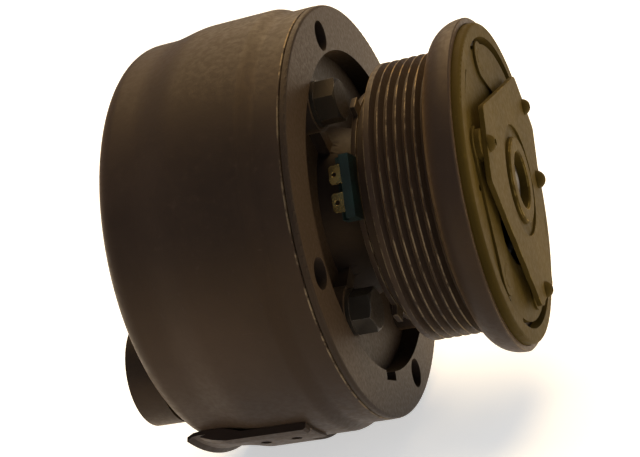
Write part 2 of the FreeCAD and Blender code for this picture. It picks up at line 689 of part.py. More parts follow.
def coil_bobbin():
    inner, outer = COIL_INNER_R + 2.1, COIL_OUTER_R - 2.3
    body = ring(14.7, 38.0, inner, outer)
    return body.cut(ring(15.6, 37.1, inner + 0.9, outer + 1))


def blade_blank(x0, x1):
    half = BLADE_WIDTH / 2
    return box(x0, x1, BLADE_R - BLADE_THICK / 2, BLADE_R + BLADE_THICK / 2, -half, half)


def connector_body():
    """A plastic block beside the coil plate, with a ledge that runs under both blades."""
    x0, x1 = CONNECTOR_X
    inner, outer = CONNECTOR_R
    block = box(x0, x1, inner - 6, outer, -CONNECTOR_HALF, CONNECTOR_HALF)
    block = block.fuse(box(LEDGE_REAR, x0 + 1, inner - 6, LEDGE_R, -CONNECTOR_HALF, CONNECTOR_HALF))
    block = block.cut(rod(LEDGE_REAR - 1, x1 + 1, inner))
    for angle in (UPPER_BLADE_ANGLE, LOWER_BLADE_ANGLE):
        socket = blade_blank(x0 - 1, x0 + BLADE_INSET)
        block = block.cut(turned(socket, angle - CONNECTOR_ANGLE))
    return turned(block.removeSplitter(), CONNECTOR_ANGLE)


def terminal(angle):
    """A flat spade with clipped corners and a latch hole."""
    half = BLADE_WIDTH / 2
    blade = blade_blank(BLADE_TIP, CONNECTOR_X[0] + BLADE_INSET)
    for side in (-1, 1):
        corner = box(-BLADE_CLIP, BLADE_CLIP, BLADE_R - 1, BLADE_R + 1, -BLADE_CLIP, BLADE_CLIP)
        corner.rotate(Vector(0, BLADE_R, 0), Vector(0, 1, 0), 45)
        corner.translate(Vector(BLADE_TIP, 0, side * half))
        blade = blade.cut(corner)
    hole = Part.makeCylinder(LATCH_HOLE_R, 4, Vector(BLADE_TIP + 2, BLADE_R - 2, 0), Vector(0, 1, 0))
    return turned(blade.cut(hole), angle)


save("coil_plate", coil_plate())
save("coil_housing", coil_housing())
save("coil_bobbin", coil_bobbin())
save("coil_winding", ring(15.7, 37.0, COIL_INNER_R + 3.05, COIL_OUTER_R - 2.5))
save("coil_resin", ring(38.1, 41.2, COIL_INNER_R + 2.05, COIL_OUTER_R - 2.25))
save("connector_body", connector_body())
save("terminal_upper", terminal(UPPER_BLADE_ANGLE))
save("terminal_lower", terminal(LOWER_BLADE_ANGLE))


# ---- pulley, rotor and the double-row ball bearing ---------------------------------------

BALL_PITCH_R = (BEARING_BORE_R + BEARING_R) / 2
BALL_ROWS = (19.2, 28.8)
INNER_RING_R = 20.4
OUTER_RING_R = 23.1
CAGE_R = (21.15, 22.35)
ROTOR_HUB_R = 29.0
ROTOR_DISC_BACK = 45.8
SLOT_ROWS = ((34.5, 37.0), (43.0, 45.5))
SLOT_ARC = 42.0


def raceway(radius):
    """Both ball tracks, as two rings of round section."""
    rows = [torus(x, BALL_PITCH_R, radius) for x in BALL_ROWS]
    return rows[0].fuse(rows[1])


def ball_centres():
    places = []
    for row, x in enumerate(BALL_ROWS):
        for index in range(BALLS_PER_ROW):
            angle = 360 * (index + 0.5 * row) / BALLS_PER_ROW
            places.append(Vector(x, *polar(BALL_PITCH_R, angle)))
    return places


def bearing_cage():
    body = ring(15.6, 32.4, CAGE_R[0], CAGE_R[1])
    for centre in ball_centres():
        body = body.cut(Part.makeSphere(BALL_R + 0.04, centre))
    return body


def arc_slot(x0, x1, inner, outer, angle, arc):
    """A curved slot with square ends, centred on this angle."""
    return sweep([(x0, inner), (x1, inner), (x1, outer), (x0, outer)], angle - arc / 2, angle + arc / 2)


def rotor():
    body = lathe([(13.6, BEARING_R), (13.6, ROTOR_HUB_R), (ROTOR_DISC_BACK, ROTOR_HUB_R),
                  (ROTOR_DISC_BACK, ROTOR_DRUM_R - 3.4), (20.0, ROTOR_DRUM_R - 3.4), (20.0, ROTOR_DRUM_R),
                  (48.0, ROTOR_DRUM_R), (48.0, FRICTION_R - 3), (49.5, FRICTION_R),
                  (FRICTION_FACE, FRICTION_R),
                  (FRICTION_FACE, 27.0), (51.0, 24.6), (BEARING_FRONT, 24.6), (BEARING_FRONT, BEARING_R)])
    for row, (inner, outer) in enumerate(SLOT_ROWS):
        for index in range(6):
            angle = 60 * index + 30 * row
            body = body.cut(arc_slot(ROTOR_DISC_BACK - 1, FRICTION_FACE + 1, inner, outer, angle, SLOT_ARC))
    return body


def pulley_rim():
    """Six V-ribbed grooves, and a front lip that rises in a quarter round."""
    base = FIRST_RIB - RIB_PITCH / 2
    outline = [(PULLEY_REAR, ROTOR_DRUM_R + TINY), (PULLEY_REAR, PULLEY_R - 0.4),
               (PULLEY_REAR + 0.4, PULLEY_R), (base, PULLEY_R)]
    for rib in range(BELT_RIBS):
        x = base + rib * RIB_PITCH
        outline += [(x + 0.25, PULLEY_R), (x + 1.38, PULLEY_R - RIB_DEPTH),
                    (x + RIB_PITCH - 1.38, PULLEY_R - RIB_DEPTH), (x + RIB_PITCH - 0.25, PULLEY_R)]
    for step in range(LIP_STEPS + 1):
        turn = math.radians(90 * step / LIP_STEPS)
        x = LIP_START + LIP_RUN * (1 - math.cos(turn))
        outline.append((x, LIP_R - LIP_RISE * (1 - math.sin(turn))))
    outline += [(LIP_FRONT - 0.5, LIP_R), (LIP_FRONT, LIP_R - 0.4), (LIP_FRONT, FRICTION_R + TINY),
                (49.5 - TINY, FRICTION_R + TINY), (48.0 - TINY, FRICTION_R - 3),
                (48.0 - TINY, ROTOR_DRUM_R + TINY)]
    return lathe(outline)


inner_ring = ring(BEARING_REAR + TINY, BEARING_FRONT, BEARING_BORE_R + TINY, INNER_RING_R)
outer_ring = ring(BEARING_REAR, BEARING_FRONT - TINY, OUTER_RING_R, BEARING_R - TINY)
seal_rings = [ring(x, x + 0.9, INNER_RING_R + 0.3, OUTER_RING_R - TINY) for x in (14.2, 32.9)]
save("bearing_inner_ring", inner_ring.cut(raceway(BALL_R + RUNNING)))
save("bearing_outer_ring", outer_ring.cut(raceway(BALL_R + RUNNING)))
save("bearing_balls", *[Part.makeSphere(BALL_R, centre) for centre in ball_centres()])
save("bearing_cage", bearing_cage())
save("bearing_seals", *seal_rings)
save("bearing_retaining_ring", open_ring(34.3, 35.4, SNAP_GROOVE_R + TINY, 20.2))
save("rotor", rotor())
save("pulley_rim", pulley_rim())


# ---- armature, leaf springs, driver plate and hub ----------------------------------------

BANANA_START = -7.0
BANANA_ARC = 103.0
FACE_R = 56.2
ARMATURE_BORE_R = 33.0
LOCATING_HOLE_R = 1.2
LOCATING_HOLE = polar(47.8, 45.0)
RIVET_SHANK_R = 2.5
ARMATURE_SHANK_R = 2.99
TIP_HOLE_R = 4.38
RIVET_R = 4.3
CORNER_HALF_ANGLE = 43.4
CORNER_ROUND = 3.5
RIVET_HEAD_R = 3.3
RIVET_HEAD_HEIGHT = 2.7
RIVET_DIMPLE_R = 1.3
RIVET_RELIEF = 1.3
BALANCE_R = 33.6
BALANCE_ANGLE = 343.0
BALANCE_HEAD_R = 3.8
BALANCE_HEIGHT = 3.2
DISH_DEPTH = 1.0
SPACER_R = 6.0
SPRING_TIP = polar(SPRING_R, SPRING_ANGLE)
PLATE_CORNER = polar(CORNER_R, CORNER_ANGLE)


def banana_slot():
    """A long curved slot through the armature, near its rim."""
    return arc_slot(ARMATURE_REAR - 1, ARMATURE_FRONT + 1, SLOT_INNER_R, SLOT_OUTER_R,
                    BANANA_START + BANANA_ARC / 2, BANANA_ARC)


def armature_plate():
    body = lathe([(ARMATURE_REAR, ARMATURE_BORE_R), (ARMATURE_REAR, ARMATURE_R),
                  (ARMATURE_FRONT, ARMATURE_R), (ARMATURE_FRONT, SLOT_OUTER_R),
                  (ARMATURE_FACE, FACE_R), (ARMATURE_FACE, ARMATURE_BORE_R)])
    body = soften(body, 1.6, [(ARMATURE_FRONT, ARMATURE_R)])
    body = soften(body, 0.6, [(ARMATURE_REAR, ARMATURE_R)])
    back, front = ARMATURE_REAR - 1, ARMATURE_FACE + 1
    rivet_hole = rod(back, front, ARMATURE_SHANK_R + TINY, *SPRING_TIP)
    locating_hole = rod(back, front, LOCATING_HOLE_R, *LOCATING_HOLE)
    relief = rod(ARMATURE_FACE - RIVET_RELIEF, front, SPACER_R, *PLATE_CORNER)
    for angle in THIRDS:
        for cutter in (banana_slot(), rivet_hole, locating_hole, relief):
            body = body.cut(turned(cutter, angle))
    return body


def armature_rivet():
    head = rod(ARMATURE_FACE, SPRING_BACK + SPRING_THICK + 0.1, RIVET_R, *SPRING_TIP)
    shank = rod(ARMATURE_REAR + 0.6, ARMATURE_FACE, ARMATURE_SHANK_R, *SPRING_TIP)
    return head.fuse(shank).removeSplitter()


def leaf_spring():
    bar = link(SPRING_BACK, SPRING_BACK + SPRING_THICK, SPRING_TIP, PLATE_CORNER, SPRING_HALF)
    bar = bar.cut(rod(SPRING_BACK - 1, PLATE_BACK, TIP_HOLE_R, *SPRING_TIP))
    return bar.cut(rod(SPRING_BACK - 1, PLATE_BACK, RIVET_SHANK_R, *PLATE_CORNER))


def driver_plate():
    corners = []
    for third in THIRDS:
        for side in (-1, 1):
            corners.append(polar(PLATE_VERTEX_R, PLATE_ANGLE + third + side * CORNER_HALF_ANGLE))
    plate = prism(corners, PLATE_BACK, PLATE_FRONT)
    upright = [edge for edge in plate.Edges if abs(edge.tangentAt(edge.FirstParameter).x) > 0.9]
    plate = plate.makeFillet(CORNER_ROUND, upright)
    plate = plate.cut(rod(PLATE_FRONT - DISH_DEPTH, PLATE_FRONT + 1, DISH_R))
    plate = plate.cut(rod(PLATE_BACK - 1, PLATE_FRONT + 1, BOSS_R + TINY))
    balance_hole = rod(PLATE_BACK - 1, PLATE_FRONT + 1, RIVET_SHANK_R, *polar(BALANCE_R, BALANCE_ANGLE))
    rivet_hole = rod(PLATE_BACK - 1, PLATE_FRONT + 1, RIVET_SHANK_R, *PLATE_CORNER)
    for angle in THIRDS:
        plate = plate.cut(turned(rivet_hole, angle))
    return plate.cut(balance_hole)


def round_head(x, y, z, radius, height):
    """A domed rivet head standing forward of x."""
    dome_radius = (radius * radius + height * height) / (2 * height)
    dome = Part.makeSphere(dome_radius, Vector(x + height - dome_radius, y, z))
    return dome.common(rod(x, x + height + 1, radius, y, z))


def driver_rivet():
    """Domed in front with a punched dimple, and a flat tail in the armature's relief."""
    y, z = PLATE_CORNER
    shank = rod(SPRING_BACK - 0.1, PLATE_FRONT, RIVET_SHANK_R - TINY, y, z)
    tail = rod(SPRING_BACK - 0.8, SPRING_BACK, RIVET_HEAD_R + 0.7, y, z)
    rivet = round_head(PLATE_FRONT, y, z, RIVET_HEAD_R, RIVET_HEAD_HEIGHT).fuse(shank).fuse(tail)
    top = PLATE_FRONT + RIVET_HEAD_HEIGHT
    return rivet.cut(rod(top - 1, top + 1, RIVET_DIMPLE_R, y, z)).removeSplitter()


def balance_rivet():
    y, z = polar(BALANCE_R, BALANCE_ANGLE)
    shank = rod(PLATE_BACK - 0.6, PLATE_FRONT, RIVET_SHANK_R - TINY, y, z)
    return round_head(PLATE_FRONT, y, z, BALANCE_HEAD_R, BALANCE_HEIGHT).fuse(shank).removeSplitter()


def hub():
    """A keyed sleeve with a collar behind the driver plate and a boss through its middle."""
    body = lathe([(HUB_REAR, HUB_SEAT_R + TINY), (HUB_REAR, 12.5), (38, 13.5), (55.8, 13.5), (55.8, 20.5),
                  (57.0, DISH_R), (PLATE_BACK, DISH_R), (PLATE_BACK, BOSS_R), (62.2, BOSS_R),
                  (62.8, BOSS_R - 0.6),
                  (62.8, NUT_RECESS_R + 0.6), (62.2, NUT_RECESS_R), (51.8, NUT_RECESS_R),
                  (51.8, HUB_SEAT_R + TINY)])
    return body.cut(box(HUB_REAR - 1, KEY_X[1] + 1, -KEY_HALF, KEY_HALF, 0, HUB_SEAT_R + 1.61))


def shaft_nut():
    nut = hexagon(17, 51.9, 59.6, phase=12)
    return nut.cut(rod(51, 61, THREAD_R + TINY))


spacer = rod(SPRING_BACK + SPRING_THICK, PLATE_BACK, SPACER_R, *PLATE_CORNER)
spacer = spacer.cut(rod(SPRING_BACK, PLATE_BACK + 1, RIVET_SHANK_R, *PLATE_CORNER))
save("armature_plate", armature_plate())
save("armature_rivets", *copies(armature_rivet(), THIRDS))
save("leaf_springs", *copies(leaf_spring(), THIRDS))
save("spring_spacers", *copies(spacer, THIRDS))
save("driver_plate", driver_plate())
save("driver_rivets", *copies(driver_rivet(), THIRDS))
save("balance_rivet", balance_rivet())
save("hub", hub())
save("shaft_nut", shaft_nut())
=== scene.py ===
import json
import math

import bmesh
import bpy
from mathutils import Matrix, Vector


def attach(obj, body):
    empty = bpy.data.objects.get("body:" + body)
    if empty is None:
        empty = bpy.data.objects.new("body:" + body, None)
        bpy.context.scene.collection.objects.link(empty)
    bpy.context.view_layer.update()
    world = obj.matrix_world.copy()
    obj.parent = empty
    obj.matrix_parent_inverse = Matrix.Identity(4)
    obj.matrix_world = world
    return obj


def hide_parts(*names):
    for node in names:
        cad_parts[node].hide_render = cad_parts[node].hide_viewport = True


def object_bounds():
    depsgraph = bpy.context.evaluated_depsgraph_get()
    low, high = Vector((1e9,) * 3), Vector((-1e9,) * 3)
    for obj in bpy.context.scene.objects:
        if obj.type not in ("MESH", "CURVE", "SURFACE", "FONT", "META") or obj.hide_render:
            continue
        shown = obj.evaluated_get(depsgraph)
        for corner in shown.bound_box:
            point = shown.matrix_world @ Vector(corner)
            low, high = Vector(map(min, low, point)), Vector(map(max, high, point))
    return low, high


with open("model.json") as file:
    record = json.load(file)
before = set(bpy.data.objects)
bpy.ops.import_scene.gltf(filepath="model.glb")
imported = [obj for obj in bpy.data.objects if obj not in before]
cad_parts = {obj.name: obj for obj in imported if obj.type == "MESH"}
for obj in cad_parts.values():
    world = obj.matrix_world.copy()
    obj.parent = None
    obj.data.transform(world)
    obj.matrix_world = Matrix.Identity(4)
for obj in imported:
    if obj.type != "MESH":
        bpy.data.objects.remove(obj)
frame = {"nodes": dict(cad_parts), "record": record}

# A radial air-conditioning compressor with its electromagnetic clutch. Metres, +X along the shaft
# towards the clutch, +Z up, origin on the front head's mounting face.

CAD_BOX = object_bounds()
MM = 0.001


# ---- mesh helpers ------------------------------------------------------------------------

def mm(value):
    return value * MM


def polar(radius, angle):
    """The Y and Z of a point at this radius and angle (degrees) about the shaft."""
    return radius * math.cos(math.radians(angle)), radius * math.sin(math.radians(angle))


def new_object(name, bm):
    mesh = bpy.data.meshes.new(name)
    bm.to_mesh(mesh)
    bm.free()
    obj = bpy.data.objects.new(name, mesh)
    bpy.context.scene.collection.objects.link(obj)
    return obj


def apply_modifiers(obj):
    """Bakes the modifier stack into the mesh."""
    graph = bpy.context.evaluated_depsgraph_get()
    evaluated = obj.evaluated_get(graph)
    mesh = bpy.data.meshes.new_from_object(evaluated, preserve_all_data_layers=True, depsgraph=graph)
    obj.modifiers.clear()
    obj.data = mesh


def smooth_by_angle(obj, degrees):
    """Smooth shading, with sharp edges where two faces meet at more than this angle."""
    bm = bmesh.new()
    bm.from_mesh(obj.data)
    limit = math.radians(degrees)
    for face in bm.faces:
        face.smooth = True
    for edge in bm.edges:
        edge.smooth = len(edge.link_faces) == 2 and edge.calc_face_angle(math.pi) < limit
    bm.to_mesh(obj.data)
    bm.free()


def store_wear(obj, values):
    """Keeps one wear value per face: 1 on outward edges, 0 elsewhere."""
    layer = obj.data.attributes.new("wear", "FLOAT", "FACE")
    layer.data.foreach_set("value", values)


ROUND_SHARP_ANGLE = 30
STRAIGHT_TURN = math.radians(4)
WORN_TURN = math.radians(24)
MOST_OF_SIDE = 0.48
DEFAULT_ROUNDING = 0.3
ROUNDING_STEPS = 4
ROUND_SEGMENTS = 320


def rounded(outline):
    """Rounds the corners of a closed (x, r) outline. A point may carry its own radius as a third value.
    Each returned point says whether it starts a stretch of an outward rounding."""
    area = 0.0
    for index, point in enumerate(outline):
        before = outline[index - 1]
        area += before[0] * point[1] - point[0] * before[1]
    points = []
    count = len(outline)
    for index in range(count):
        here = Vector(outline[index][:2])
        before = Vector(outline[index - 1][:2]) - here
        after = Vector(outline[(index + 1) % count][:2]) - here
        wanted = outline[index][2] if len(outline[index]) > 2 else DEFAULT_ROUNDING
        turn = math.pi - before.angle(after)
        if wanted <= 0 or turn < STRAIGHT_TURN:
            points.append((here, False))
            continue
        outward = (after.x * before.y - after.y * before.x) * area > 0
        side = min(before.length, after.length)
        reach = min(wanted * math.tan(turn / 2), side * MOST_OF_SIDE)
        start = here + before.normalized() * reach
        end = here + after.normalized() * reach
        for step in range(ROUNDING_STEPS + 1):
            t = step / ROUNDING_STEPS
            spot = (1 - t) ** 2 * start + 2 * t * (1 - t) * here + t * t * end
            points.append((spot, outward and step < ROUNDING_STEPS and turn > WORN_TURN))
    return points


def lathe(name, outline, worn=None):
    """A solid of revolution about the shaft from a closed (x, r) outline in millimetres.
    worn(x, r) marks further stretches of the outline as rubbed bare."""
    points = rounded(outline)
    bm = bmesh.new()
    rings = []
    for spot, _ in points:
        ring = []
        for step in range(ROUND_SEGMENTS):
            turn = 2 * math.pi * step / ROUND_SEGMENTS
            ring.append(bm.verts.new((mm(spot.x), mm(spot.y) * math.cos(turn), mm(spot.y) * math.sin(turn))))
        rings.append(ring)
    wear = []
    for index, ring in enumerate(rings):
        following = rings[(index + 1) % len(rings)]
        spot, outward = points[index]
        middle = (spot + points[(index + 1) % len(rings)][0]) / 2
        value = 1.0 if outward or (worn and worn(middle.x, middle.y)) else 0.0
        for step in range(ROUND_SEGMENTS):
            beside = (step + 1) % ROUND_SEGMENTS
            bm.faces.new((ring[step], following[step], following[beside], ring[beside]))
            wear.append(value)
    bmesh.ops.recalc_face_normals(bm, faces=bm.faces)
    obj = new_object(name, bm)
    smooth_by_angle(obj, ROUND_SHARP_ANGLE)
    store_wear(obj, wear)
    return obj


RIVETED_NODES = ("driver_plate", "armature_plate", "leaf_springs")
RIVET_HOLE_STEP = 0.9
HOLLOW_TURN = math.radians(-3)
HARD_TURN = math.radians(28)
FLAT_TURN = math.radians(0.6)
WELD_DISTANCE = 1e-6
BEVEL_SEGMENTS = 2


def rims_a_rivet_hole(edge):
    """True for the short edges around a small hole, which a rivet's head covers."""
    if edge.calc_length() > mm(RIVET_HOLE_STEP):
        return False
    for face in edge.link_faces:
        for other in face.edges:
            if len(other.link_faces) == 2 and other.calc_face_angle_signed(0.0) < HOLLOW_TURN:
                return True
    return False


def cad_copy(node, bevel, change=None):
    """A new mesh in the shape of a CAD node, with its outward hard edges rounded off and marked as worn.
    Rivet holes stay sharp."""
    bm = bmesh.new()
    bm.from_mesh(frame["nodes"][node].data)
    bmesh.ops.remove_doubles(bm, verts=bm.verts, dist=WELD_DISTANCE)
    if change:
        change(bm)
    bmesh.ops.dissolve_limit(bm, angle_limit=FLAT_TURN, verts=bm.verts, edges=bm.edges)
    weight = bm.edges.layers.float.new("bevel_weight_edge")
    for face in bm.faces:
        face.smooth = True
        face.material_index = 0
    for edge in bm.edges:
        turn = edge.calc_face_angle_signed(0.0) if len(edge.link_faces) == 2 else 0.0
        edge.smooth = abs(turn) < HARD_TURN
        if turn > HARD_TURN and not (node in RIVETED_NODES and rims_a_rivet_hole(edge)):
            edge[weight] = 1.0
            edge.smooth = True
    obj = new_object(node + "_piece", bm)
    obj.data.materials.append(None)
    obj.data.materials.append(None)
    tool = obj.modifiers.new("bevel", "BEVEL")
    tool.width = mm(bevel)
    tool.segments = BEVEL_SEGMENTS
    tool.limit_method = "WEIGHT"
    tool.material = 1   # the bevel's strips get the second, empty material slot, which marks them for wear
    even = obj.modifiers.new("even", "WEIGHTED_NORMAL")
    even.keep_sharp = True
    apply_modifiers(obj)
    wear = [float(face.material_index == 1) for face in obj.data.polygons]
    for face in obj.data.polygons:
        face.material_index = 0
    obj.data.materials.clear()
    store_wear(obj, wear)
    return obj


def stand_for(obj, body, material, node):
    """Puts a finished piece in place of a CAD node, on that node's body."""
    obj.data.materials.clear()
    obj.data.materials.append(material)
    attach(obj, body)
    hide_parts(node)


# ---- material helpers --------------------------------------------------------------------

class Shader:
    """A small builder for node materials around one Principled shader."""

    def __init__(self, name):
        self.material = bpy.data.materials.new(name)
        self.material.use_nodes = True
        self.tree = self.material.node_tree
        self.shader = self.tree.nodes["Principled BSDF"]
        self.place = self.add("ShaderNodeTexCoord").outputs["Object"]

    def add(self, kind, **settings):
        node = self.tree.nodes.new(kind)
        for key, value in settings.items():
            setattr(node, key, value)
        return node

    def link(self, source, target):
        self.tree.links.new(source, target)

    def noise(self, scale, detail=4.0, rough=0.55, stretch=None):
        node = self.add("ShaderNodeTexNoise")
        node.inputs["Scale"].default_value = scale
        node.inputs["Detail"].default_value = detail
        node.inputs["Roughness"].default_value = rough
        if stretch:
            mapping = self.add("ShaderNodeMapping")
            mapping.inputs["Scale"].default_value = stretch
            self.link(self.place, mapping.inputs["Vector"])
            self.link(mapping.outputs["Vector"], node.inputs["Vector"])
        else:
            self.link(self.place, node.inputs["Vector"])
        return node.outputs["Fac"]

    def ramp(self, value, low, high, start=0.0, end=1.0):
        node = self.add("ShaderNodeMapRange", interpolation_type="SMOOTHSTEP")
        node.inputs["From Min"].default_value = low
        node.inputs["From Max"].default_value = high
        node.inputs["To Min"].default_value = start
        node.inputs["To Max"].default_value = end
        self.link(value, node.inputs["Value"])
        return node.outputs["Result"]

    def math(self, operation, a, b):
        node = self.add("ShaderNodeMath", operation=operation)
        for socket, value in zip(node.inputs, (a, b)):
            if isinstance(value, (int, float)):
                socket.default_value = value
            else:
                self.link(value, socket)
        return node.outputs["Value"]

    def mix(self, factor, a, b):
        """Mixes two colours, each a tuple or a socket."""
        node = self.add("ShaderNodeMix", data_type="RGBA")
        self.link(factor, node.inputs["Factor"])
        for socket, value in ((node.inputs[6], a), (node.inputs[7], b)):
            if isinstance(value, tuple):
                socket.default_value = (*value, 1.0)
            else:
                self.link(value, socket)
        return node.outputs[2]

    def wear(self):
        return self.add("ShaderNodeAttribute", attribute_name="wear").outputs["Fac"]

    def colour(self, socket):
        self.link(socket, self.shader.inputs["Base Color"])

    def set(self, name, value):
        if isinstance(value, (int, float)):
            self.shader.inputs[name].default_value = value
        else:
            self.link(value, self.shader.inputs[name])

    def tint(self, name, value):
        self.shader.inputs[name].default_value = (*value, 1.0)

    def bump(self, layers):
        """Adds height layers, each a (socket, depth in millimetres) pair."""
        normal = None
        for height, depth in layers:
            node = self.add("ShaderNodeBump")
            node.inputs["Strength"].default_value = 1.0
            node.inputs["Distance"].default_value = mm(depth)
            self.link(height, node.inputs["Height"])
            if normal is not None:
                self.link(normal, node.inputs["Normal"])
            normal = node.outputs["Normal"]
        self.link(normal, self.shader.inputs["Normal"])


SPECULAR_BROWN = (1.0, 0.66, 0.30)
HAZE_BROWN = (1.0, 0.62, 0.27)
HAZE_OLIVE = (1.0, 0.66, 0.16)
SHEEN_ROUGHNESS = 0.45
BARE_METALLIC = 0.6


def scaled(colour, factor):
    return tuple(min(1.0, c * factor) for c in colour)


def painted(name, dark, light, bare, worn=0.5, gloss=0.46, speck=420.0, grain=0.03, haze=0.12, shine=0.16,
            haze_tint=HAZE_BROWN):
    """Satin paint over metal: uneven film, settled dust, fine scuffs, and bare metal on worn edges."""
    s = Shader(name)
    broad = s.noise(scale=14.0, detail=3.0)
    fine = s.noise(scale=speck, detail=6.0)
    film = s.mix(s.ramp(broad, 0.30, 0.72), dark, light)
    dust = s.ramp(fine, 0.56, 0.82, start=0.0, end=0.30)
    film = s.mix(dust, film, scaled(light, 1.7))
    streaks = s.noise(scale=90.0, detail=5.0, rough=0.7, stretch=(1.0, 6.0, 6.0))
    scuffs = s.ramp(streaks, 0.66, 0.74, start=0.0, end=0.22)
    film = s.mix(scuffs, film, scaled(light, 2.4))
    patches = s.noise(scale=150.0, detail=5.0, rough=0.65)
    rubbed = s.math("MULTIPLY", s.wear(), s.ramp(patches, 0.62 - 0.4 * worn, 0.74 - 0.3 * worn))
    s.colour(s.mix(rubbed, film, bare))
    s.set("Metallic", s.math("MULTIPLY", rubbed, BARE_METALLIC))
    s.set("Roughness", s.ramp(fine, 0.3, 0.7, start=gloss - 0.05, end=gloss + 0.10))
    s.set("Specular IOR Level", shine)
    s.tint("Specular Tint", SPECULAR_BROWN)
    s.set("Sheen Weight", haze)
    s.set("Sheen Roughness", SHEEN_ROUGHNESS)
    s.tint("Sheen Tint", haze_tint)
    s.bump([(s.noise(scale=900.0, detail=3.0), grain), (s.noise(scale=160.0, detail=2.0), grain * 1.5)])
    return s.material


def cast_metal(name, dark, light, rough=0.5, grain=700.0, depth=0.10):
    """Sand-textured cast metal, with uneven tone and bright worn edges."""
    s = Shader(name)
    broad = s.noise(scale=35.0, detail=4.0)
    fine = s.noise(scale=grain, detail=6.0, rough=0.65)
    body = s.mix(s.ramp(broad, 0.35, 0.68), dark, light)
    s.colour(s.mix(s.math("MULTIPLY", s.wear(), 0.6), body, scaled(light, 1.35)))
    s.set("Metallic", 1.0)
    s.set("Roughness", s.ramp(fine, 0.3, 0.7, start=rough - 0.08, end=rough + 0.14))
    s.bump([(fine, depth), (s.noise(scale=240.0, detail=3.0), depth * 0.8)])
    return s.material


def machined(name, tint, rough=0.28, rings=1500.0, depth=0.012, stain=None):
    """Turned or ground metal: fine rings about the shaft (so many to the metre), with faint oil stains."""
    s = Shader(name)
    split = s.add("ShaderNodeSeparateXYZ")
    s.link(s.place, split.inputs["Vector"])
    across = s.math("MULTIPLY", split.outputs["Y"], split.outputs["Y"])
    up = s.math("MULTIPLY", split.outputs["Z"], split.outputs["Z"])
    radius = s.math("SQRT", s.math("ADD", across, up), 0.0)
    along = s.math("ADD", radius, split.outputs["X"])
    lines = s.math("SINE", s.math("MULTIPLY", along, rings * 2 * math.pi), 0.0)
    stained = s.ramp(s.noise(scale=60.0, detail=5.0, rough=0.6), 0.42, 0.70)
    s.colour(s.mix(stained, tint, stain or scaled(tint, 0.55)))
    s.set("Metallic", 1.0)
    polish = s.noise(scale=180.0, detail=4.0)
    s.set("Roughness", s.ramp(polish, 0.3, 0.7, start=rough - 0.06, end=rough + 0.12))
    s.bump([(lines, depth), (s.noise(scale=800.0, detail=3.0), depth)])
    return s.material


def moulded(name, dark, light, rough=0.5, coat=0.0):
    """Moulded plastic, rubber or ceramic with a fine skin texture."""
    s = Shader(name)
    broad = s.noise(scale=90.0, detail=3.0)
    skin = s.noise(scale=1600.0, detail=3.0)
    s.colour(s.mix(s.ramp(broad, 0.35, 0.68), dark, light))
    s.set("Roughness", s.ramp(skin, 0.3, 0.7, start=rough - 0.06, end=rough + 0.10))
    s.set("Coat Weight", coat)
    s.bump([(skin, 0.012), (s.noise(scale=300.0, detail=2.0), 0.02)])
    return s.material


MATERIALS = {
    "black_paint": painted("black_paint", dark=(0.014, 0.0105, 0.0105), light=(0.025, 0.018, 0.0165),
                           bare=(0.12, 0.095, 0.065)),
    "black_casting": painted("black_casting", dark=(0.013, 0.0105, 0.0105), light=(0.022, 0.017, 0.0155),
                             bare=(0.13, 0.105, 0.07), speck=640.0, grain=0.05, shine=0.12),
    "clutch_black": painted("clutch_black", dark=(0.028, 0.0195, 0.0045), light=(0.052, 0.036, 0.009),
                            bare=(0.12, 0.088, 0.028), worn=0.4, gloss=0.55, haze=0.07, shine=0.03,
                            haze_tint=HAZE_OLIVE),
    "cast_aluminium": cast_metal("cast_aluminium", dark=(0.30, 0.30, 0.29), light=(0.52, 0.52, 0.50)),
    "bolt_steel": painted("bolt_steel", dark=(0.008, 0.008, 0.008), light=(0.018, 0.018, 0.018),
                          bare=(0.22, 0.21, 0.20), worn=0.4, gloss=0.40, speck=900.0, haze=0.05),
    "bright_steel": machined("bright_steel", (0.58, 0.57, 0.55)),
    "rotor_iron": machined("rotor_iron", (0.085, 0.072, 0.058), rough=0.44, rings=900.0, depth=0.02,
                           stain=(0.05, 0.034, 0.022)),
    "winding_copper": machined("winding_copper", (0.62, 0.27, 0.12), rough=0.3, rings=1800.0, depth=0.05,
                               stain=(0.34, 0.13, 0.06)),
    "coil_plastic": moulded("coil_plastic", dark=(0.02, 0.02, 0.02), light=(0.05, 0.05, 0.05)),
    "coil_resin": moulded("coil_resin", dark=(0.012, 0.012, 0.012), light=(0.03, 0.03, 0.028), rough=0.3,
                          coat=0.3),
    "seal_rubber": moulded("seal_rubber", dark=(0.010, 0.010, 0.010), light=(0.022, 0.022, 0.022), rough=0.6),
    "seal_carbon": moulded("seal_carbon", dark=(0.02, 0.02, 0.022), light=(0.04, 0.04, 0.045), rough=0.35),
    "seal_ceramic": moulded("seal_ceramic", dark=(0.66, 0.63, 0.57), light=(0.78, 0.76, 0.71), rough=0.25,
                            coat=0.4),
    "connector_plastic": moulded("connector_plastic", dark=(0.0015, 0.008, 0.007),
                                 light=(0.004, 0.018, 0.016), rough=0.42),
    "terminal_brass": machined("terminal_brass", (0.80, 0.60, 0.22), rough=0.26, rings=2500.0, depth=0.008,
                               stain=(0.50, 0.33, 0.10)),
}


# ---- pieces ------------------------------------------------------------------------------

SLOT_OF = {row["node"]: row["material_slot"] for row in frame["record"]["subparts"]}
BODY_OF = {}
for body_name, members in frame["record"]["behaviour"]["bodies"].items():
    for member in members:
        BODY_OF[member] = body_name

